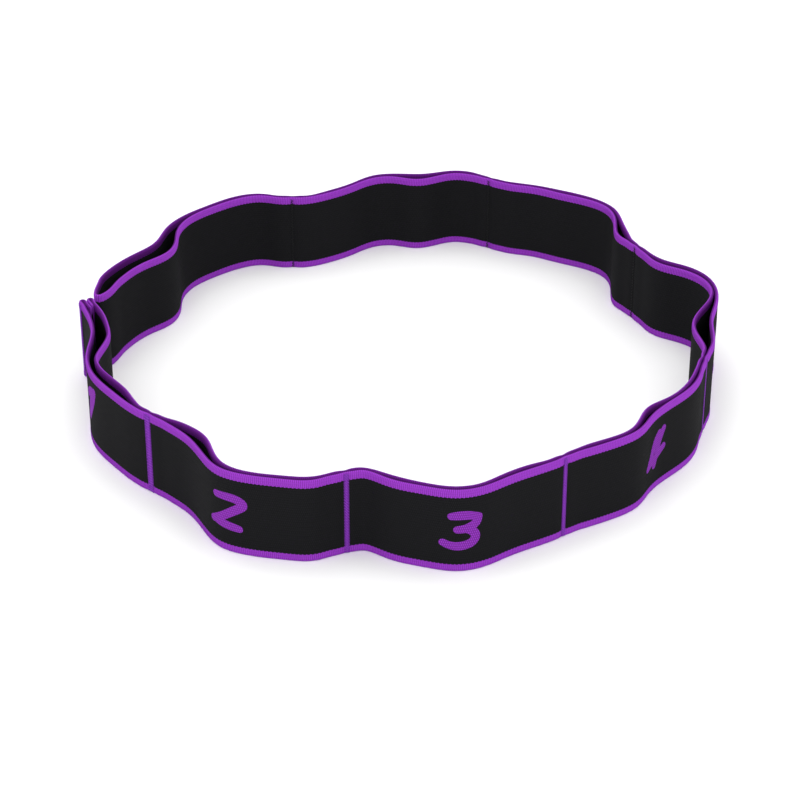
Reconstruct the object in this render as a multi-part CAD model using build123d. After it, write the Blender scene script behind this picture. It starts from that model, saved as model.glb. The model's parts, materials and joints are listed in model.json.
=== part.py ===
"""Elastic stretch strap with eight sewn loops, standing on its edge in an open ring.

One length of elastic webbing is folded in half and sewn through at seven cross seams. Its two
raw ends are turned in and sewn together at the end of loop 1, and its fold closes loop 8. So
each loop has an inner and an outer layer of web, and the strap bends at the seams.

Millimetres, +Z up. The strap rests on its lower edge at Z = 0, and the origin is the middle of
its footprint. Loops are numbered anticlockwise seen from above, from the end at the left.
"""
from build123d import *
import os
from math import cos, radians, sin, tan

# Webbing
WEB_WIDTH = 38.0
WEB_THICKNESS = 1.4
LAYER_AIR = 0.45          # air between the two layers where they are pressed together

# Sewing
SEW_SEAT = 0.05           # air between a row of thread and the web that it is sewn to
BAR_WIDTH = 2.7           # satin bar of needle thread on the outside of a seam
BAR_HEIGHT = 0.4
ROW_WIDTH = 1.2           # single row of bobbin thread on the inside
ROW_HEIGHT = 0.25
ROW_MARGIN = 0.5          # the thread stops this far short of the web's edges
HINGE_PLAY = 0.3          # air between pieces that move against each other

# Ends of the strap
HEM_LENGTH = 2.4          # the two raw ends, turned in and sewn
HEM_SPREAD = 5.2          # middle of one layer to the middle of the other at the hem
HEM_ROUND = 1.0           # where the raw ends turn in
HEM_BAR_WIDTH = 1.9       # satin bar of needle thread across the hem
FOLD_SPREAD = 3.2         # the same at the fold of loop 8

# The whole strap, end to end, and how long it is in the points below
STRAP_LENGTH = 920.0
DRAWN_LENGTH = 920.0
SEAM_LEAD = 3.0           # a web leaves a seam straight for this long

# Where the two layers are sewn together: X, Y and the heading of the strap there
HEM_END = (-141.0, 11.5, -67.0)
SEAMS = [
    (-103.2, -89.7, -40.0),
    (-22.0, -135.7, 21.0),
    (65.5, -123.7, 37.0),
    (130.6, -42.0, 72.0),
    (111.3, 65.1, 118.0),
    (45.0, 140.3, 147.0),
    (-52.5, 119.1, 180.0),
]
FOLD_END = (-135.8, 16.9, 256.0)

# How the outer layer of each loop waves from one seam to the next
OUTER_WAVES = [
    [(-138, -3.5), (-134.6, -19.5), (-134.6, -39.5), (-130.8, -55.5), (-120.4, -72)],
    [(-94, -99.5), (-87, -107.5), (-80, -120), (-72, -132.5), (-60, -138.5), (-46, -141.5),
     (-34, -142)],
    [(-5, -140.5), (9, -146.5), (23, -149.5), (34, -146), (43, -139.5), (54, -132.5)],
    [(75, -118.5), (88, -111), (98, -102.5), (104, -91.5), (113, -79.5), (122, -68.5),
     (127.5, -56.5)],
    [(135.5, -30.5), (137, -17.5), (138, -5.5), (141, 6.5), (143, 20.5), (140, 34.5), (132, 44),
     (121, 51.5)],
    [(108, 77.5), (106, 91.5), (103, 106.5), (94, 117.5), (80, 126), (66, 132.5), (55, 136)],
    [(37, 147), (26, 149.5), (13, 146), (-3, 146), (-13, 144), (-24, 134.5), (-36, 125.5)],
    [(-68, 122.5), (-80, 119.5), (-92, 110), (-104, 97.5), (-111, 84), (-115, 68.5), (-124, 56),
     (-133, 42), (-137, 26.5)],
]

# The same for the inner layer
INNER_WAVES = [
    [(-133.5, 1.5), (-129, -12.5), (-127.5, -21.5), (-129.5, -34.5), (-130.5, -42.5),
     (-126, -54.5), (-115, -70.5)],
    [(-93, -95.5), (-86, -100.5), (-79, -109), (-75.5, -119.5), (-70, -130), (-60, -136),
     (-46, -139), (-34, -139.5)],
    [(-5, -137.5), (9, -144), (22, -147), (31, -145), (40, -138.5), (52, -130.5)],
    [(75, -115.5), (86.5, -109), (95, -102), (99.5, -92.5), (103, -85), (111.5, -77.5),
     (119.5, -68), (125, -56.5)],
    [(131.7, -30.5), (130, -21.5), (129.5, -11.5), (133.5, 0.5), (139, 11.5), (141, 20.5),
     (138, 32), (130, 40.5), (119.5, 47.5)],
    [(103.5, 76.5), (102.5, 84.5), (103, 94.5), (100, 107.5), (91.5, 116), (78, 123.5),
     (65, 130.5), (55, 133.5)],
    [(36, 144.5), (27, 146.5), (17, 142.5), (8, 139.5), (-3, 142.5), (-12, 141.5),
     (-24.5, 131.5), (-37, 122.5)],
    [(-67.5, 120.5), (-79, 117), (-90.5, 108), (-101, 96), (-105.5, 81.5), (-105.5, 69.5),
     (-108.5, 58.5), (-117.5, 48.5), (-126, 35.5), (-131, 24.5)],
]

# Sizes that follow from the ones above
LAYER_OFFSET = (WEB_THICKNESS + LAYER_AIR) / 2        # middle of a layer from the seam's line
JOIN_RADIUS = WEB_THICKNESS + LAYER_AIR / 2           # half the sewn stack
BAR_INNER_RADIUS = JOIN_RADIUS + SEW_SEAT
BAR_OUTER_RADIUS = BAR_INNER_RADIUS + BAR_HEIGHT
ROW_OUTER_RADIUS = BAR_INNER_RADIUS + ROW_HEIGHT
MOVING_REACH = BAR_OUTER_RADIUS + HINGE_PLAY          # nearest that a moving web comes to a seam
FIXED_REACH = JOIN_RADIUS + SEW_SEAT                  # nearest that the seam's own web comes
SIDE_SAMPLES = 28                                     # points along each side of a web
SCALE = STRAP_LENGTH / DRAWN_LENGTH
STATIONS = [(x * SCALE, y * SCALE, heading) for x, y, heading in [HEM_END, *SEAMS, FOLD_END]]
LOOPS = len(STATIONS) - 1

os.makedirs("parts", exist_ok=True)


def direction(heading):
    """Unit vector along a heading in degrees, anticlockwise from +X."""
    return Vector(cos(radians(heading)), sin(radians(heading)))


def outward(heading):
    """Unit vector away from the middle of the ring, for a strap on that heading."""
    return direction(heading - 90)


def place(station, along, out):
    """Point near a station of the strap, by its distance along the strap and outwards."""
    x, y, heading = station
    return Vector(x, y) + direction(heading) * along + outward(heading) * out


def web(start, waves, end, start_heading, end_heading):
    """Length of web on its edge: a smooth line through the waves, as thick as the web."""
    lead_in = start + direction(start_heading) * SEAM_LEAD
    lead_out = end - direction(end_heading) * SEAM_LEAD
    middle = Spline(start, lead_in, *[Vector(x, y) * SCALE for x, y in waves], lead_out, end)
    shares = [i / SIDE_SAMPLES for i in range(SIDE_SAMPLES + 1)]
    tangents = [middle.tangent_at(share) for share in shares]
    tangents[0], tangents[-1] = direction(start_heading), direction(end_heading)
    sides = []
    for half in (WEB_THICKNESS / 2, -WEB_THICKNESS / 2):
        points = [middle.position_at(share) + Vector(tangent.Y, -tangent.X) * half
                  for share, tangent in zip(shares, tangents)]
        sides.append(Spline(*points))
    ends = [Line(sides[0] @ 0, sides[1] @ 0), Line(sides[0] @ 1, sides[1] @ 1)]
    return extrude(make_face(sides + ends), amount=WEB_WIDTH)


def outer_web(loop):
    """Outer layer of a loop, clear of the joins at both its ends because it lifts off them."""
    first, last = STATIONS[loop - 1], STATIONS[loop]
    start = place(first, MOVING_REACH, LAYER_OFFSET)
    end = place(last, -MOVING_REACH, LAYER_OFFSET)
    if loop == 1:
        start = place(first, HEM_LENGTH + HINGE_PLAY, HEM_SPREAD / 2)
    if loop == LOOPS:
        end = place(last, -HINGE_PLAY, FOLD_SPREAD / 2)
    return web(start, OUTER_WAVES[loop - 1], end, first[2], last[2])


def inner_web(loop):
    """Inner layer of a loop, which runs up to its own join and clear of the one before."""
    first, last = STATIONS[loop - 1], STATIONS[loop]
    start = place(first, MOVING_REACH, -LAYER_OFFSET)
    end = place(last, -FIXED_REACH, -LAYER_OFFSET)
    if loop == 1:
        start = place(first, HEM_LENGTH + SEW_SEAT, -HEM_SPREAD / 2)
    if loop == LOOPS:
        end = place(last, -SEW_SEAT, -FOLD_SPREAD / 2)
    return web(start, INNER_WAVES[loop - 1], end, first[2], last[2])


def seam_join(station):
    """Both layers sewn through: a round stack, so that the next loop can turn about it."""
    return Pos(*place(station, 0, 0)) * extrude(Circle(JOIN_RADIUS), amount=WEB_WIDTH)


def thread_strip(station, inner_radius, outer_radius, width, side):
    """Thread laid over a join as a curved strip, facing out (side 1) or in (side -1)."""
    x, y, heading = station
    facing = heading - 90 * side
    spread = width / (inner_radius + outer_radius)
    ring = Circle(outer_radius) - Circle(inner_radius)
    far_x = 2 * outer_radius
    far_y = far_x * tan(spread)
    wedge = Polygon((0, 0), (far_x, -far_y), (far_x, far_y), align=None)
    strip = extrude(ring & wedge, amount=WEB_WIDTH - 2 * ROW_MARGIN)
    return Pos(x, y, ROW_MARGIN) * Rot(0, 0, facing) * strip


def hem(station):
    """The two raw ends, turned in between the layers: a block with a rounded outer end."""
    across = HEM_SPREAD + WEB_THICKNESS
    block = Pos(HEM_LENGTH / 2, 0) * Rectangle(HEM_LENGTH, across)
    end_corners = block.vertices().sort_by(Axis.X)[:2]
    block = fillet(end_corners, HEM_ROUND)
    return Pos(*place(station, 0, 0)) * Rot(0, 0, station[2]) * extrude(block, amount=WEB_WIDTH)


def hem_strip(station, height, width, side):
    """Thread sewn across the hem, on its outer (side 1) or inner (side -1) face."""
    out = side * ((HEM_SPREAD + WEB_THICKNESS) / 2 + SEW_SEAT + height / 2)
    middle = place(station, HEM_LENGTH - width / 2, out)
    strip = extrude(Rectangle(width, height), amount=WEB_WIDTH - 2 * ROW_MARGIN)
    return Pos(middle.X, middle.Y, ROW_MARGIN) * Rot(0, 0, station[2]) * strip


def end_fold(station):
    """The web's fold round the end of loop 8: half a turn about an upright line."""
    radius = FOLD_SPREAD / 2
    ring = Circle(radius + WEB_THICKNESS / 2) - Circle(radius - WEB_THICKNESS / 2)
    ahead = Pos(FOLD_SPREAD, 0) * Rectangle(2 * FOLD_SPREAD, 4 * FOLD_SPREAD)
    fold = extrude(ring & ahead, amount=WEB_WIDTH)
    return Pos(*place(station, 0, 0)) * Rot(0, 0, station[2]) * fold


pieces = {}
for loop in range(1, LOOPS + 1):
    pieces[f"outer_web_{loop}"] = outer_web(loop)
    pieces[f"inner_web_{loop}"] = inner_web(loop)
for number, seam in enumerate(STATIONS[1:-1], start=1):
    pieces[f"seam_join_{number}"] = seam_join(seam)
    pieces[f"needle_bar_{number}"] = thread_strip(
        seam, BAR_INNER_RADIUS, BAR_OUTER_RADIUS, BAR_WIDTH, 1)
    pieces[f"bobbin_row_{number}"] = thread_strip(
        seam, BAR_INNER_RADIUS, ROW_OUTER_RADIUS, ROW_WIDTH, -1)
pieces["hem"] = hem(STATIONS[0])
pieces["hem_needle_bar"] = hem_strip(STATIONS[0], BAR_HEIGHT, HEM_BAR_WIDTH, 1)
pieces["hem_bobbin_row"] = hem_strip(STATIONS[0], ROW_HEIGHT, ROW_WIDTH, -1)
pieces["end_fold"] = end_fold(STATIONS[-1])

for name, piece in pieces.items():
    export_step(piece, f"parts/{name}.step")
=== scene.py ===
"""Elastic stretching strap with eight sewn loops, standing on the edge of its webbing in a ring.

Plan geometry is in millimetres, and points go into the meshes in metres. The strap is one length of
webbing: every stretch of it is cut from one line, so its weave runs on from piece to piece.
"""

import json
from math import pi, radians

import bpy
import numpy as np
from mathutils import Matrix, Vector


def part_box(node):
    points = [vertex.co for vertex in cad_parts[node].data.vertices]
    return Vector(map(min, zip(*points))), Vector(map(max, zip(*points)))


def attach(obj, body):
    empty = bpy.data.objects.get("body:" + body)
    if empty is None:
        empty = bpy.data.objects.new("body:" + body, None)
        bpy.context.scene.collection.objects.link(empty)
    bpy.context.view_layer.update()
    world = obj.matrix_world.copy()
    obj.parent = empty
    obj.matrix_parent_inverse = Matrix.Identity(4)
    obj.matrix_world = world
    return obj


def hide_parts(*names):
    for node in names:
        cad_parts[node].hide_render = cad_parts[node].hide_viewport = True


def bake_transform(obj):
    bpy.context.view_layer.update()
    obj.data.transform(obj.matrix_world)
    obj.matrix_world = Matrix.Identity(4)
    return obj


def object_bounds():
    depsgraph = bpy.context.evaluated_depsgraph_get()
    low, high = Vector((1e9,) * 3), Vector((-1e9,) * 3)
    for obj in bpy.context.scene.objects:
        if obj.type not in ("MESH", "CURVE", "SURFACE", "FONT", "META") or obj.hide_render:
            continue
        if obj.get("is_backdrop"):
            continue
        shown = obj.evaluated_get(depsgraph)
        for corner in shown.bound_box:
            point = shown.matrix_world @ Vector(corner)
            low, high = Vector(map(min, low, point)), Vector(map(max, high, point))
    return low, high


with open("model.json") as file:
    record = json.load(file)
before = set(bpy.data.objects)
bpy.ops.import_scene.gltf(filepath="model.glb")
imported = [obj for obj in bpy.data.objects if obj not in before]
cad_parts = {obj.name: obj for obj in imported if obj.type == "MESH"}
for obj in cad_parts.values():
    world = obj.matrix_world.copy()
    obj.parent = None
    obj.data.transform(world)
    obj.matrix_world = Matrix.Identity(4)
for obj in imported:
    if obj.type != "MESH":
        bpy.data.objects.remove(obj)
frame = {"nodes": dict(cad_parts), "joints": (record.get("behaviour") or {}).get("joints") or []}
cad_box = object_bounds()

# The line of the webbing
# One 1.9 m length of woven elastic makes the whole strap. It starts turned in at the hem of loop 1,
# runs round as the outer layer, turns back at the end of loop 8 and returns as the inner layer.
MM = 0.001
LOOPS = 8
THICKNESS = 1.4
KNOT_SPACING = 5.0          # between points read off a web's middle line
PICK = 0.8                  # one weft yarn to the next along the web
STEPS_PER_PICK = 4
STEP = PICK / STEPS_PER_PICK
FINE = 40                   # points for each run of the line between two knots, before it is evened
PRESSED = 1.36              # middle of one layer to the middle of the other, under a seam's stitches
HEM_TURN = 0.84             # radius of the turned-in ends
HEM_TAB = 9.0               # how far a turned-in end reaches back between the layers


def even(line, count):
    """count points at equal distances along a line of straight runs."""
    along = np.concatenate([[0], np.cumsum(np.linalg.norm(np.diff(line, axis=0), axis=1))])
    at = np.linspace(0, along[-1], count)
    return np.stack([np.interp(at, along, line[:, 0]), np.interp(at, along, line[:, 1])], axis=1)


def middle_line(node, begin):
    """Points down the middle of a CAD web seen from above, from the end that is nearer to begin.

    The border of the web's lower face is two long sides and two short ends, and turns sharply at
    its four corners. A middle point is halfway between the points at one share of both sides."""
    mesh = frame["nodes"][node].data
    mesh.calc_loop_triangles()
    places = np.empty(len(mesh.vertices) * 3)
    mesh.vertices.foreach_get("co", places)
    places = places.reshape(-1, 3) / MM
    triangles = np.empty(len(mesh.loop_triangles) * 3, int)
    mesh.loop_triangles.foreach_get("vertices", triangles)
    triangles = triangles.reshape(-1, 3)
    low = triangles[(places[triangles, 2] < 0.01).all(axis=1)]
    flat, low = np.unique(np.round(places[low.ravel(), :2], 3), axis=0, return_inverse=True)
    low = low.reshape(-1, 3)
    edges = np.sort(np.concatenate([low[:, [0, 1]], low[:, [1, 2]], low[:, [2, 0]]]), axis=1)
    edges, uses = np.unique(edges, axis=0, return_counts=True)
    beside = {}
    for a, b in edges[uses == 1].tolist():
        beside.setdefault(a, []).append(b)
        beside.setdefault(b, []).append(a)
    walk = [min(beside)]
    walk.append(beside[walk[0]][0])
    while walk[-1] != walk[0]:
        walk += [n for n in beside[walk[-1]] if n != walk[-2]]
    border = flat[walk[:-1]]
    run = np.roll(border, -1, axis=0) - border
    heading = np.arctan2(run[:, 1], run[:, 0])
    turn = np.abs((heading - np.roll(heading, 1) + pi) % (2 * pi) - pi)
    border = np.roll(border, -turn.argmax(), axis=0)
    corners = np.sort(np.argsort(np.roll(turn, -turn.argmax()))[-4:])
    border = np.concatenate([border, border[:1]])
    chains = [border[a:b + 1] for a, b in zip(corners, [*corners[1:], len(border) - 1])]
    left, right = sorted(chains, key=len)[-2:]
    length = np.linalg.norm(np.diff(left, axis=0), axis=1).sum()
    count = round(length / KNOT_SPACING) + 1
    middle = (even(left, count) + even(right[::-1], count)) / 2
    nearer = np.linalg.norm(middle[0] - begin) < np.linalg.norm(middle[-1] - begin)
    return middle if nearer else middle[::-1]


def natural_spline(knots, fine):
    """A natural cubic spline through the knots, with fine points for each run between two of them.

    Its parameter t is the distance from knot to knot. Between two knots h apart, with bends m0
    and m1, a point is the straight line's plus ((h-u)^3 - (h-u)h^2) m0 / 6h plus
    (u^3 - u h^2) m1 / 6h. The bends make the slopes of neighbouring runs equal."""
    h = np.linalg.norm(np.diff(knots, axis=0), axis=1)
    slope = np.diff(knots, axis=0) / h[:, None]
    system = np.eye(len(knots))
    side = np.zeros_like(knots)
    i = np.arange(1, len(knots) - 1)
    system[i, i] = 2 * (h[:-1] + h[1:])
    system[i, i - 1] = h[:-1]
    system[i, i + 1] = h[1:]
    side[i] = 6 * (slope[1:] - slope[:-1])
    bend = np.linalg.solve(system, side)
    u = np.linspace(0, 1, fine, endpoint=False)[None, :, None] * h[:, None, None]
    v = h[:, None, None] - u
    h = h[:, None, None]
    line = (knots[:-1, None] * v + knots[1:, None] * u) / h
    line = line + (v ** 3 - v * h ** 2) / (6 * h) * bend[:-1, None]
    line = line + (u ** 3 - u * h ** 2) / (6 * h) * bend[1:, None]
    return np.concatenate([line.reshape(-1, 2), knots[-1:]])


def corner(node, high):
    """One corner of a CAD node's box, seen from above, in millimetres."""
    return np.array(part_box(node)[high])[:2] / MM


# Both layers' middle lines, read off the CAD webs from the hem round to the fold
outer, inner = [], []
hem_middle = (corner("hem", 0) + corner("hem", 1)) / 2
for loop in range(1, LOOPS + 1):
    outer.append(middle_line(f"outer_web_{loop}", outer[-1][-1] if outer else hem_middle))
    inner.append(middle_line(f"inner_web_{loop}", inner[-1][-1] if inner else hem_middle))

# Under each seam the layers are pressed together, each half of PRESSED from the hinge's axis
hinges = {j["name"]: j for j in frame["joints"] if j["type"] == "hinge"}
outer_knots, inner_knots, seam_knots = [*outer[0]], [*inner[0]], []
for seam in range(1, LOOPS):
    axis = np.array(hinges[f"seam_{seam}_hinge"]["pos_m"][:2]) / MM
    seam_knots.append((len(outer_knots), len(inner_knots)))
    for knots, layer in ((outer_knots, outer), (inner_knots, inner)):
        off = (layer[seam - 1][-1] + layer[seam][0]) / 2 - axis
        knots.append(axis + off / np.linalg.norm(off) * PRESSED / 2)
        knots += [*layer[seam]]

# The fold at the end of loop 8: half a turn from the outer layer to the inner one. The two layers
# run straight into it, so the last points of both webs, which turn them parallel, aren't used.
across = outer[-1][-1] - inner[-1][-1]
ahead = np.array([-across[1], across[0]]) / np.linalg.norm(across)
fold_middle = (outer[-1][-1] + inner[-1][-1]) / 2
fold_radius = np.linalg.norm(across) / 2
fold = [fold_middle + across / 2 * np.cos(a) + ahead * fold_radius * np.sin(a)
        for a in np.radians([15, 55, 90, 125, 165])]
del outer_knots[-2:], inner_knots[-3:]

# The two raw ends at the hem: each turns in round its end and lies back against its own layer
across = outer[0][0] - inner[0][0]
spread = np.linalg.norm(across)
across = across / spread
ahead = np.array([-across[1], across[0]])
strap_end = hem_middle - ahead * (corner("hem", 1) - corner("hem", 0)).min() / 2
cover = THICKNESS / 2       # the web's middle line stays this far inside the strap's end
turned = [(back, 2 * HEM_TURN) for back in np.linspace(HEM_TAB, HEM_TURN + cover, 4)]
turned += [(HEM_TURN * (1 - np.sin(a)) + cover, HEM_TURN * (1 + np.cos(a)))
           for a in np.radians([45, 90, 135])]
turned_outer, turned_inner = [
    [strap_end + ahead * back + across * side * (spread / 2 - depth) for back, depth in turned]
    for side in (1, -1)]

knots = np.array(turned_outer + outer_knots + fold + inner_knots[::-1] + turned_inner[::-1])
fine_line = natural_spline(knots, FINE)
fine_along = np.concatenate([[0], np.cumsum(np.linalg.norm(np.diff(fine_line, axis=0), axis=1))])
knot_along = fine_along[::FINE]
web_line = even(fine_line, round(fine_along[-1] / STEP) + 1)
web_length = fine_along[-1]
web_tangent = np.gradient(web_line, axis=0)
web_tangent /= np.linalg.norm(web_tangent, axis=1)[:, None]
web_face = np.stack([web_tangent[:, 1], -web_tangent[:, 0]], axis=1)     # out of the shown face


def on_pick(along):
    """The same distance along the web, moved to the nearest weft yarn."""
    return round(along / PICK) * PICK


first_outer = len(turned_outer)
last_inner = len(knots) - len(turned_inner) - 1
outer_seam = [on_pick(knot_along[first_outer + a]) for a, b in seam_knots]
inner_seam = [on_pick(knot_along[last_inner - b]) for a, b in seam_knots]
hem_outer = on_pick(knot_along[first_outer])
hem_inner = on_pick(knot_along[last_inner])
fold_at = on_pick(knot_along[first_outer + len(outer_knots) + len(fold) // 2])


def place(along, off, up):
    """Points in metres, from distances along the web, off its middle towards its face, and up."""
    at = along / (web_length / (len(web_line) - 1))
    index = np.arange(len(web_line))
    x, y, nx, ny = [np.interp(at, index, column) for column in (*web_line.T, *web_face.T)]
    return np.stack([x + nx * off, y + ny * off, up * np.ones_like(x)], axis=-1) * MM


# Webbing
# Black polyester over rubber warp, woven narrow, with a selvage of thicker purple yarn along both
# edges. Each weft yarn shows as a small rib, deeper in the selvage. The stitches pinch it.
WIDTH = (cad_box[1][2] - cad_box[0][2]) / MM
SELVAGE = 3.4
SELVAGE_SWELL = 0.1         # how much thicker the selvage is, on each face
RIB = {"body": 0.025, "selvage": 0.07}      # how far a weft yarn's crest stands up
PINCH = 0.24                # share of the thickness lost under the stitches
PINCH_REACH = 1.6
SHARP_EDGE = radians(60)    # two faces that meet at more than this aren't shaded as one
# The rows of points up the web, from its edge to its middle, closest round the edge and the selvage
FROM_EDGE = np.array([0, 0.12, 0.4, 0.8, 1.4, 2.1, 2.8, 3.3, 3.5, 4.2, 6.0, 9.0, 12.5, 16.0, WIDTH / 2])
pinch_places = np.array(outer_seam + inner_seam)


def half_thickness(along, edge):
    """Half the web's thickness at a distance along it and a distance from its nearer edge.

    The last half thickness of the edge is a quarter round. The selvage swells as half a wave,
    each weft yarn is a cosine rib, and the stitches of a seam press a bell-shaped groove."""
    radius = THICKNESS / 2
    inside = np.clip(edge / radius, 0, 1)
    rounding = np.sqrt(1 - (1 - inside) ** 2)
    in_selvage = np.clip(1 - edge / SELVAGE, 0, 1)
    swell = SELVAGE_SWELL * np.sin(pi * in_selvage)
    rib = np.where(in_selvage > 0, RIB["selvage"], RIB["body"])
    rib = rib * np.cos(2 * pi * along / PICK)
    nearest = np.abs(along[..., None] - pinch_places).min(axis=-1)
    pinch = 1 - PINCH * np.exp(-(nearest / PINCH_REACH) ** 2)
    return (radius * pinch + swell + rib) * rounding


def grid_faces(rows, columns, first=0):
    """Four-sided faces of a grid that closes on itself across its columns."""
    a = np.arange(rows - 1)[:, None] * columns + np.arange(columns)[None]
    b = np.arange(rows - 1)[:, None] * columns + (np.arange(columns)[None] + 1) % columns
    return np.stack([a, b, b + columns, a + columns], axis=-1).reshape(-1, 4) + first


def make_piece(name, points, faces, maps=None):
    """An object from points in metres and four-cornered faces, with its own map in millimetres.

    A face that closes the section spans nearly the whole map, from its far end to 0. Its corners
    at 0 go to the far end, which is the same place on the web."""
    mesh = bpy.data.meshes.new(name)
    mesh.from_pydata(points.reshape(-1, 3).tolist(), [], faces.tolist())
    mesh.validate()
    if maps is not None:
        layer = mesh.uv_layers.new(name="Web")
        corners = np.empty(len(mesh.loops), int)
        mesh.loops.foreach_get("vertex_index", corners)
        corner_maps = maps.reshape(-1, 2)[corners].reshape(-1, 4, 2)
        height = corner_maps[..., 1]
        closing = (np.ptp(height, axis=1) > WIDTH)[:, None] & (height < 0.01)
        height[closing] = 2 * WIDTH
        layer.uv.foreach_set("vector", corner_maps.astype(np.float32).ravel())
    mesh.shade_smooth()
    mesh.set_sharp_from_angle(angle=SHARP_EDGE)
    piece = bpy.data.objects.new(name, mesh)
    bpy.context.scene.collection.objects.link(piece)
    return piece


def web_piece(name, *stretches):
    """One or more stretches of the web, each from one distance along it to another.

    The section goes up the shown face and down the hidden one, half a thickness off the middle
    line, and is carried along the line. Each end is closed across the section. The map's second
    number is the height on the shown face, and goes on past the web's width down the hidden one."""
    edge = np.concatenate([FROM_EDGE, FROM_EDGE[-2::-1]])
    up = np.concatenate([FROM_EDGE, WIDTH - FROM_EDGE[-2::-1]])
    edge = np.concatenate([edge, edge[-2:0:-1]])
    side = np.concatenate([np.ones(len(up)), -np.ones(len(up) - 2)])
    round_web = np.concatenate([up, 2 * WIDTH - up[-2:0:-1]])
    up = np.concatenate([up, up[-2:0:-1]])
    points, maps, faces, count = [], [], [], 0
    for start, stop in stretches:
        along = np.linspace(start, stop, round((stop - start) / STEP) + 1)[:, None]
        along = along + np.zeros(len(up))
        off = half_thickness(along, edge[None]) * side
        points.append(place(along, off, up[None] + 0 * off).reshape(-1, 3))
        maps.append(np.stack([along, round_web[None] + 0 * off], axis=-1).reshape(-1, 2))
        rows, columns = along.shape
        faces.append(grid_faces(rows, columns, count))
        i = np.arange((columns - 2) // 2)
        cap = np.stack([i, i + 1, columns - 1 - i, (columns - i) % columns], axis=-1)
        faces.append(cap[:, ::-1] + count)
        faces.append(cap + count + (rows - 1) * columns)
        count += rows * columns
    piece = make_piece(name, np.concatenate(points), np.concatenate(faces), np.concatenate(maps))
    piece.data.flip_normals()
    piece.data.materials.append(webbing)
    return piece


def linear(hex_colour):
    """An sRGB hex colour as the linear red, green, blue and alpha that a shader takes."""
    value = np.array([int(hex_colour[i:i + 2], 16) for i in (1, 3, 5)]) / 255
    value = np.where(value <= 0.04045, value / 12.92, ((value + 0.055) / 1.055) ** 2.4)
    return (*value.tolist(), 1.0)


def add(tree, kind, inputs=(), **settings):
    """Adds a shader node with its settings. Each input is given a value, another node's socket, or
    a node, which stands for the first socket that it gives out."""
    node = tree.nodes.new(kind)
    for name, value in settings.items():
        setattr(node, name, value)
    for name, value in dict(inputs).items():
        if isinstance(value, bpy.types.Node):
            value = next(socket for socket in value.outputs if socket.enabled)
        if isinstance(value, bpy.types.NodeSocket):
            tree.links.new(value, node.inputs[name])
        else:
            node.inputs[name].default_value = value
    return node


# Woven elastic: dull polyester yarn in a close plain weave. The warp's fine cords and the weft's
# ribs cross in a brick pattern, which breaks up the light and leaves the web matt. The yarn's
# colour wanders a little. Its colour is painted darker in the weave's hollows, as painted shade,
# and lighter on the crests. The purple on the hidden face is painted darker still, as painted
# shade of the gap between the layers and of the layer behind.
WARP = 1.1                  # one warp cord to the next; real ones are finer and wouldn't show
# Each hollow colour is painted shade, mixed in where the weave lies low
BLACK_YARN = "#1A1A1C"
BLACK_HOLLOW_SHADE = "#0F0F11"
PURPLE_YARN = "#963BC1"
PURPLE_HOLLOW_SHADE = "#642080"
# Painted shade: the hidden face's darker purple, for the gap between the layers and the layer behind
HIDDEN_SHADE_PURPLE = "#661E84"
HIDDEN_SHADE_HOLLOW = "#48125C"
BLOTCHES = 1.6              # in a millimetre: uneven spots of about half a millimetre
UNEVEN = 0.5                # how much they change a yarn's height
YARN_RELIEF = 0.12          # from a hollow to a crest, as the bump draws it
TOOTH = 0.12                # how far the selvage's border steps in and out
SLANT = 0.8                 # lean of the selvage's ribs, in radians of a rib for each millimetre up
MATH = "ShaderNodeMath"
MIX = "ShaderNodeMix"


def woven(name):
    """A woven material that still lacks its colour. Gives the material and its node tree, the
    distances along and up the web, and how high a yarn stands, from 0 in a hollow to 1.

    The height is a cosine along each warp cord, which starts half a turn later in every second
    cord, times an arch across the cord. Noise then raises or lowers it."""
    material = bpy.data.materials.new(name)
    material.use_nodes = True
    tree = material.node_tree
    web = add(tree, "ShaderNodeUVMap", uv_map="Web")
    split = add(tree, "ShaderNodeSeparateXYZ", {0: web})
    along, up = split.outputs["X"], split.outputs["Y"]
    cord = add(tree, MATH, {0: up, 1: WARP}, operation="DIVIDE")
    number = add(tree, MATH, {0: cord}, operation="FLOOR")
    across = add(tree, MATH, {0: cord}, operation="FRACT")
    half_turn = add(tree, MATH, {0: across, 1: pi}, operation="MULTIPLY")
    arch = add(tree, MATH, {0: half_turn}, operation="SINE")
    later = add(tree, MATH, {0: number, 1: pi}, operation="MULTIPLY")
    phase = add(tree, MATH, {0: along, 1: 2 * pi / PICK, 2: later}, operation="MULTIPLY_ADD")
    swing = add(tree, MATH, {0: phase}, operation="COSINE")
    wave = add(tree, MATH, {0: swing, 1: 0.5, 2: 0.5}, operation="MULTIPLY_ADD")
    height = add(tree, MATH, {0: arch, 1: wave}, operation="MULTIPLY")
    noise = add(tree, "ShaderNodeTexNoise", {"Vector": web, "Scale": BLOTCHES, "Detail": 2.0})
    worn = add(tree, MATH, {0: noise, 1: UNEVEN, 2: -UNEVEN / 2}, operation="MULTIPLY_ADD")
    level = add(tree, MATH, {0: height, 1: worn}, operation="ADD")
    bump = add(tree, "ShaderNodeBump",
               {"Strength": 0.5, "Distance": YARN_RELIEF * MM, "Height": level})
    shader = tree.nodes["Principled BSDF"]
    tree.links.new(bump.outputs[0], shader.inputs["Normal"])
    shader.inputs["Roughness"].default_value = 0.85
    shader.inputs["Specular IOR Level"].default_value = 0.08
    return material, tree, along, up, level


webbing, tree, along, up, level = woven("woven_elastic_polyester")

# How far a place is from the web's nearer edge, on either face
height = add(tree, MATH, {0: up, 1: WIDTH}, operation="MODULO")
from_middle = add(tree, MATH, {0: height, 1: WIDTH / 2}, operation="SUBTRACT")
off_middle = add(tree, MATH, {0: from_middle}, operation="ABSOLUTE")
edge = add(tree, MATH, {0: WIDTH / 2, 1: off_middle}, operation="SUBTRACT")

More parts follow.
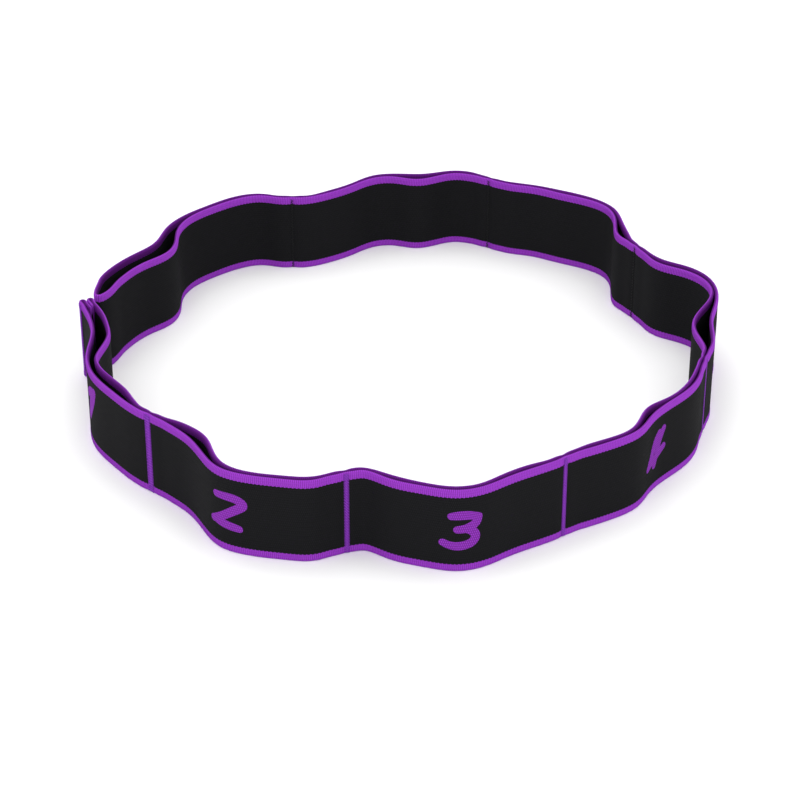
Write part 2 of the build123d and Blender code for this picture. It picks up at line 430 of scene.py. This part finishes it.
# The selvage's last warp cord floats over every second pick, so its border is toothed
tooth_phase = add(tree, MATH, {0: along, 1: pi / PICK}, operation="MULTIPLY")
tooth = add(tree, MATH, {0: tooth_phase}, operation="SINE")
border = add(tree, MATH, {0: tooth, 1: TOOTH, 2: SELVAGE}, operation="MULTIPLY_ADD")
in_body = add(tree, MATH, {0: edge, 1: border}, operation="GREATER_THAN")
hidden = add(tree, MATH, {0: up, 1: WIDTH}, operation="GREATER_THAN")

# In the selvage each weft yarn is a slanted rib, with a painted highlight on its crest and painted
# shade between ribs: a cosine that swings by 0.35 round the middle of the two colours, with three
# tenths of the weave's height on top
rib_phase = add(tree, MATH, {0: along, 1: 2 * pi / PICK}, operation="MULTIPLY")
slant = add(tree, MATH, {0: edge, 1: SLANT, 2: rib_phase}, operation="MULTIPLY_ADD")
rib_wave = add(tree, MATH, {0: slant}, operation="COSINE")
rib_height = add(tree, MATH, {0: rib_wave, 1: 0.35, 2: 0.5}, operation="MULTIPLY_ADD")
rib = add(tree, MATH, {0: level, 1: 0.3, 2: rib_height}, operation="MULTIPLY_ADD")

shown_purple = add(tree, MIX, {0: rib, 6: linear(PURPLE_HOLLOW_SHADE), 7: linear(PURPLE_YARN)},
                   data_type="RGBA")
hidden_shade_purple = add(tree, MIX, {0: rib, 6: linear(HIDDEN_SHADE_HOLLOW), 7: linear(HIDDEN_SHADE_PURPLE)},
                    data_type="RGBA")
black = add(tree, MIX, {0: level, 6: linear(BLACK_HOLLOW_SHADE), 7: linear(BLACK_YARN)}, data_type="RGBA")
# Painted shade: the hidden face takes the darker purple
purple = add(tree, MIX, {0: hidden, 6: shown_purple, 7: hidden_shade_purple}, data_type="RGBA")
web_colour = add(tree, MIX, {0: in_body, 6: purple, 7: black}, data_type="RGBA")
tree.links.new(web_colour.outputs[2], tree.nodes["Principled BSDF"].inputs["Base Color"])


# Seams
# The web's two layers are sewn through across its whole width, which presses them together. A short
# stretch of both layers each side of the stitches is made as one piece.
SEAM_REACH = 9.0            # each way from the stitches
BLEND_INSET = 1.5           # this far inside a piece's cut ends


for seam in range(1, LOOPS):
    out, back = outer_seam[seam - 1], inner_seam[seam - 1]
    piece = web_piece(f"seam_web_{seam}", (out - SEAM_REACH, out + SEAM_REACH),
                      (back - SEAM_REACH, back + SEAM_REACH))
    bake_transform(piece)
    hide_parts(f"seam_join_{seam}")


# Ends of the strap
# At loop 1 both raw ends are turned in between the layers and sewn. At loop 8 the web just turns
# back on itself. These stretches are stiff, and ride with their loop.
HEM_REACH = 7.4             # from the first point of the CAD web, along the strap
FOLD_REACH = 9.8            # each way from the middle of the fold
hem = web_piece("hem_ends", (0.0, hem_outer + HEM_REACH),
                (hem_inner - HEM_REACH, on_pick(web_length - PICK)))
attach(hem, "loop_1")
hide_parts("hem")
end_fold = web_piece("end_fold_web", (fold_at - FOLD_REACH, fold_at + FOLD_REACH))
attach(end_fold, "loop_8")
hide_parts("end_fold")


# Loops
# Between two seams each loop has an inner layer, which carries the strap's shape and rides with its
# loop, and an outer layer, made as two halves that meet at its middle, near its numeral.
MIDDLE_REACH = 12.8         # from the middle of a loop, along its outer layer
outer_cuts = [hem_outer + HEM_REACH]
inner_cuts = [hem_inner - HEM_REACH]
for out, back in zip(outer_seam, inner_seam):
    outer_cuts += [out - SEAM_REACH, out + SEAM_REACH]
    inner_cuts += [back + SEAM_REACH, back - SEAM_REACH]
outer_cuts.append(fold_at - FOLD_REACH)
inner_cuts.append(fold_at + FOLD_REACH)
numeral_at = []
for loop in range(1, LOOPS + 1):
    start, stop = outer_cuts[2 * loop - 2:2 * loop]
    middle = on_pick((start + stop) / 2)
    numeral_at.append(middle)
    halves = [(f"outer_panel_{loop}_first", start, middle, start + BLEND_INSET, middle - MIDDLE_REACH),
              (f"outer_panel_{loop}_last", middle, stop, stop - BLEND_INSET, middle + MIDDLE_REACH)]
    for name, cut, next_cut, still, moving in halves:
        piece = web_piece(name, (cut, next_cut))
        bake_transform(piece)
        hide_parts(f"outer_web_{loop}")
    stop, start = inner_cuts[2 * loop - 2:2 * loop]
    piece = web_piece(f"inner_panel_{loop}", (start, stop))
    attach(piece, f"loop_{loop}")
    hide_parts(f"inner_web_{loop}")


# Numerals
# The loops are numbered on the outer face in the selvage's purple yarn, woven in with the web so
# that they stand only a hair above it. They are brushed figures that lean forward.
STROKE = 4.1                # widest part of a stroke
STROKE_END = 0.82           # width of a stroke's ends, as a share of its widest part
NUMERAL_RISE = 0.10         # above the web's face
NUMERAL_DEPTH = 0.3         # into the web, where it doesn't show
NUMERAL_FLATNESS = 0.6      # power that flattens a stroke's section; 1 would leave it an ellipse
ROUND_STROKE = 16           # points round a stroke's section
ALONG_STROKE = 12           # points for each run of a stroke's path
ROUND_END = 8               # rows of points in a stroke's round end
TIP = 0.02                  # width that a round end closes to, as a share of its widest part
NUMERAL_SHIFT = {1: 9.5, 2: 3.5}    # off the middle of the loop, along it
# The path of each stroke: points along the web and up it, from the middle of the numeral
NUMERALS = {
    1: [[(5, 10.6), (3.2, 6.4), (0.2, 1), (-3.6, -5)],
        [(2.2, 9.6), (0.8, 5.8), (-1.2, 0.8), (-3.6, -5)],
        [(3.6, 10.2), (-0.8, 8.4), (-4, 6)]],
    2: [[(-5, 6.6), (-1.7, 6.9), (2.1, 7), (5.6, 6.3), (7.4, 4.7), (5.5, 2.6), (1.8, 0),
         (-2.1, -2.8), (-7.2, -5.9)],
        [(-6.6, -5.6), (-3.4, -6), (1, -6.5), (5.5, -7)]],
    3: [[(-4.2, 7), (-1.6, 7.3), (2.4, 7.2), (6.2, 6.2)],
        [(6.4, 6), (5.6, 3.8), (3.6, 2.1), (0.8, 1.1), (-1.9, 0.8)],
        [(0.8, 1.1), (3.8, -0.2), (5.2, -2.6), (4.3, -5), (1.6, -6.4), (-1.8, -6.9), (-4.8, -6.5),
         (-7.6, -5.4)]],
    4: [[(6.3, 8.5), (4.3, 5.6), (2.4, 1.8), (1.1, -2.4), (-0.2, -6.6)],
        [(2.9, 7.8), (0.2, 5.1), (-2.8, -0.4), (-6.4, -5.4)],
        [(-6.2, -5.2), (-2.2, -4), (3, -2), (6.7, -0.3)]],
    5: [[(-2.8, 7), (1.6, 7.1), (6.8, 6.8)],
        [(-2.8, 6.8), (-3.6, 4), (-4.4, 1.2)],
        [(-4.4, 1.2), (-0.6, 1.9), (3.4, 0.9), (4.9, -2), (3.6, -5), (0, -6.9), (-3.6, -6.8),
         (-6.8, -5.4)]],
    6: [[(5, 7.2), (0.8, 5.6), (-3, 2), (-5, -2.2), (-3.8, -5.8), (-0.4, -7), (3.4, -5.6),
         (4.2, -2.6), (2, -0.4), (-1.6, -0.8), (-4.4, -3)]],
    7: [[(-5, 7), (0.8, 7.1), (6.6, 6.8)],
        [(6.4, 6.6), (3.2, 2.2), (0.4, -2.4), (-2, -7)]],
    8: [[(1, 0.4), (4.2, 2.8), (4.8, 5.6), (2.2, 7.4), (-1.4, 6.8), (-2.6, 4.2), (-0.6, 1.6),
         (2.4, -1.2), (3.4, -4), (1.4, -6.6), (-2.4, -7.2), (-5, -5.2), (-4.4, -2.2), (-1.6, -0.6),
         (1, 0.4)]],
}


def stroke_points(route, centre):
    """A stroke of a numeral, laid on the web's face round a distance along it.

    The stroke's path is a spline. Its half width swells from the ends to the middle as half a
    wave, and closes as a half circle at both ends. Its section is a flat lens: the cosine across,
    and a power of the sine up or down, with the square root of the stroke's width."""
    path = natural_spline(np.array(route, float), ALONG_STROKE)
    run = np.gradient(path, axis=0)
    run /= np.linalg.norm(run, axis=1)[:, None]
    radius = STROKE / 2
    brush = STROKE_END + (1 - STROKE_END) * np.sin(np.linspace(0, pi, len(path)))
    arc = np.radians(np.linspace(90, 0, ROUND_END, endpoint=False))
    caps = np.sin(arc)[:, None] * radius * STROKE_END
    path = np.concatenate([path[:1] - run[:1] * caps, path, path[-1:] + run[-1:] * caps[::-1]])
    run = np.concatenate([np.repeat(run[:1], len(arc), 0), run, np.repeat(run[-1:], len(arc), 0)])
    width = np.concatenate([np.cos(arc) * STROKE_END, brush, np.cos(arc)[::-1] * STROKE_END])
    width = np.maximum(width, TIP)[:, None]
    angle = np.linspace(0, 2 * pi, ROUND_STROKE, endpoint=False)[None]
    across = np.cos(angle) * width * radius
    rise = np.where(np.sin(angle) > 0, NUMERAL_RISE, NUMERAL_DEPTH) * np.sin(angle)
    flattened = np.abs(rise) ** NUMERAL_FLATNESS * NUMERAL_RISE ** (1 - NUMERAL_FLATNESS)
    rise = np.sign(rise) * flattened * np.sqrt(width)
    along = centre + path[:, :1] - run[:, 1:] * across
    up = WIDTH / 2 + path[:, 1:] + run[:, :1] * across
    return along, up, THICKNESS / 2 + rise


# The numerals are the selvage's own yarn, as dull as it is, in its purple all over, with painted
# shade in the weave's hollows
numeral_yarn, tree, along, up, level = woven("woven_purple_yarn")
numeral_purple = add(tree, MIX, {0: level, 6: linear(PURPLE_HOLLOW_SHADE), 7: linear(PURPLE_YARN)},
                     data_type="RGBA")
tree.links.new(numeral_purple.outputs[2], tree.nodes["Principled BSDF"].inputs["Base Color"])

for loop, strokes in NUMERALS.items():
    points, maps, faces, count = [], [], [], 0
    centre = numeral_at[loop - 1] + NUMERAL_SHIFT.get(loop, 0.0)
    for route in strokes:
        along, up, off = stroke_points(route, centre)
        points.append(place(along, off, up).reshape(-1, 3))
        maps.append(np.stack([along, up], axis=-1).reshape(-1, 2))
        faces.append(grid_faces(*along.shape, count))
        count += along.size
    piece = make_piece(f"numeral_{loop}", np.concatenate(points), np.concatenate(faces),
                       np.concatenate(maps))
    piece.data.materials.append(numeral_yarn)
    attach(piece, f"outer_{loop}")


# Stitching
# A satin bar of purple needle thread crosses the outer face at each seam, closely zigzagged from
# selvage to selvage. Inside, the black bobbin thread shows as a narrow zigzag.
THREAD = 0.17               # radius of the sewing thread
STITCH_PITCH = 0.36         # up the web, from one crossing of a bar to the next
ROW_PITCH = 2 * STITCH_PITCH
BAR_WIDTHS = [3.9, 2.6, 2.4, 1.8, 2.4, 2.4, 2.4]
HEM_BAR_WIDTH = 1.9
ROW_WIDTH = 1.2
HEM_ROW_BACK = 0.6          # the hem's stitches lie this far outside the CAD web's first point
STITCH_MARGIN = 0.35        # between the thread and the web's lower and upper edge
STITCH_DIVE = 3.0           # thread radii that a stitch goes down at its ends
DIVE_POWER = 12             # the higher, the nearer its ends a stitch turns down
ALONG_CROSSING = 8          # points in one crossing
THREAD_SIDES = 6            # points round the thread


def zigzag(centre, width, pitch):
    """A row of thread up the web's face: it zigzags between the row's two sides, lies on the
    crests of the weft ribs and goes down into the web at each side, as a high power of its
    swing. Gives distances along, off and up."""
    crossings = int((WIDTH - 2 * STITCH_MARGIN) / pitch)
    t = np.linspace(0, crossings, crossings * ALONG_CROSSING + 1)
    swing = np.abs((t % 2) - 1) * 2 - 1
    along = centre + swing * width / 2
    up = STITCH_MARGIN + t * pitch
    surface = half_thickness(np.round(along / PICK) * PICK, np.minimum(up, WIDTH - up))
    off = surface + THREAD * (1 - STITCH_DIVE * np.abs(swing) ** DIVE_POWER)
    return along, off, up


def thread(name, along, off, up, material):
    """A round thread carried along a path: a circle across the path's own direction, turned to
    face out of the web."""
    path = place(along, off, up)
    run = np.gradient(path, axis=0)
    run /= np.linalg.norm(run, axis=1)[:, None]
    side = np.cross(run, place(along, off + 1.0, up) - path)
    side /= np.linalg.norm(side, axis=1)[:, None]
    rise = np.cross(side, run)
    angle = np.linspace(0, 2 * pi, THREAD_SIDES, endpoint=False)[None, :, None]
    circle = (side[:, None] * np.cos(angle) + rise[:, None] * np.sin(angle)) * THREAD * MM
    piece = make_piece(name, path[:, None] + circle, grid_faces(len(path), THREAD_SIDES))
    piece.data.materials.append(material)
    return piece


def sewing_thread(name, crest, hollow):
    """Twisted polyester thread: a little glossier than the web, with its twist as slanting bands.

    The bands are 1.26 mm apart along x + y + z. A real twist is finer and wouldn't show."""
    material = bpy.data.materials.new(name)
    material.use_nodes = True
    tree = material.node_tree
    coordinates = add(tree, "ShaderNodeTexCoord")
    twist = add(tree, "ShaderNodeTexWave",
                {"Vector": coordinates.outputs["Object"], "Scale": 0.5 / MM, "Distortion": 1.5},
                bands_direction="DIAGONAL")
    band = twist.outputs["Fac"]
    # Painted highlight and shade: the twist's bands are lighter on their crests, darker in their
    # grooves
    colour = add(tree, MIX, {0: band, 6: linear(hollow), 7: linear(crest)}, data_type="RGBA")
    bump = add(tree, "ShaderNodeBump", {"Strength": 0.3, "Distance": 0.05 * MM, "Height": band})
    shader = tree.nodes["Principled BSDF"]
    tree.links.new(colour.outputs[2], shader.inputs["Base Color"])
    tree.links.new(bump.outputs[0], shader.inputs["Normal"])
    shader.inputs["Roughness"].default_value = 0.7
    shader.inputs["Specular IOR Level"].default_value = 0.15
    return material


# Each thread's second colour is painted shade for the grooves of its twist
needle_thread = sewing_thread("twisted_purple_polyester", "#8E39BC", "#64268F")
bobbin_thread = sewing_thread("twisted_black_polyester", "#1B1B1D", "#0E0E10")

for seam in range(1, LOOPS):
    out, back = outer_seam[seam - 1], inner_seam[seam - 1]
    bar = thread(f"stitch_bar_{seam}",
                 *zigzag(out, BAR_WIDTHS[seam - 1], STITCH_PITCH), needle_thread)
    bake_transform(bar)
    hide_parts(f"needle_bar_{seam}")
    row = thread(f"stitch_row_{seam}", *zigzag(back, ROW_WIDTH, ROW_PITCH), bobbin_thread)
    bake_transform(row)
    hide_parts(f"bobbin_row_{seam}")

hem_bar = thread("hem_stitch_bar",
                 *zigzag(hem_outer - HEM_ROW_BACK, HEM_BAR_WIDTH, STITCH_PITCH), needle_thread)
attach(hem_bar, "loop_1")
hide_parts("hem_needle_bar")
hem_row = thread("hem_stitch_row",
                 *zigzag(hem_inner + HEM_ROW_BACK, ROW_WIDTH, ROW_PITCH), bobbin_thread)
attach(hem_row, "loop_1")
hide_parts("hem_bobbin_row")


# Floor, light and camera
# The strap stands on a flat sheet of matt white paper. A white surround fills its shadows, and
# two softboxes light it from above and from the front left. Distances here are in metres.
FLOOR = 4.0                 # from the middle to each side
floor_mesh = bpy.data.meshes.new("floor")
floor_mesh.from_pydata([(-FLOOR, -FLOOR, 0), (FLOOR, -FLOOR, 0), (FLOOR, FLOOR, 0), (-FLOOR, FLOOR, 0)],
                       [], [(0, 1, 2, 3)])
floor = bpy.data.objects.new("floor", floor_mesh)
bpy.context.scene.collection.objects.link(floor)
paper = bpy.data.materials.new("white_paper")
paper.use_nodes = True
paper_shader = paper.node_tree.nodes["Principled BSDF"]
paper_shader.inputs["Base Color"].default_value = linear("#FAFAFA")
paper_shader.inputs["Roughness"].default_value = 0.9
floor_mesh.materials.append(paper)
floor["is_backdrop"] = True

world = bpy.data.worlds.new("studio")
world.use_nodes = True
surround = world.node_tree.nodes["Background"]
surround.inputs["Color"].default_value = linear("#FFFFFF")
surround.inputs["Strength"].default_value = 1.2
bpy.context.scene.world = world


def softbox(name, at, size, watts):
    """A square soft light, turned to face the middle of the ring."""
    lamp = bpy.data.lights.new(name, "AREA")
    lamp.size = size
    lamp.energy = watts
    holder = bpy.data.objects.new(name, lamp)
    holder.location = at
    holder.rotation_euler = (-holder.location).to_track_quat("-Z", "Y").to_euler()
    bpy.context.scene.collection.objects.link(holder)


softbox("top", at=(0.0, 0.1, 1.6), size=1.2, watts=5)
softbox("front", at=(-0.4, -1.6, 1.0), size=1.2, watts=5)

CAMERA_DISTANCE = 1.07
CAMERA_TILT = radians(30)
AIM_Y = -0.0135             # the view's middle on the floor, a little in front of the ring's
camera = bpy.data.cameras.new("camera")
camera.lens = 107.55        # as measured against a sensor 36 mm wide
camera.sensor_width = 36
viewer = bpy.data.objects.new("camera", camera)
viewer.location = (0.0, AIM_Y - CAMERA_DISTANCE * np.cos(CAMERA_TILT),
                   CAMERA_DISTANCE * np.sin(CAMERA_TILT))
viewer.rotation_euler = (pi / 2 - CAMERA_TILT, 0, 0)
bpy.context.scene.collection.objects.link(viewer)
bpy.context.scene.camera = viewer
bpy.context.scene.view_settings.view_transform = "Standard"

boxes = {"cad": cad_box, "visual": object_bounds()}
boxes = {name: [[float(v) for v in point] for point in box] for name, box in boxes.items()}
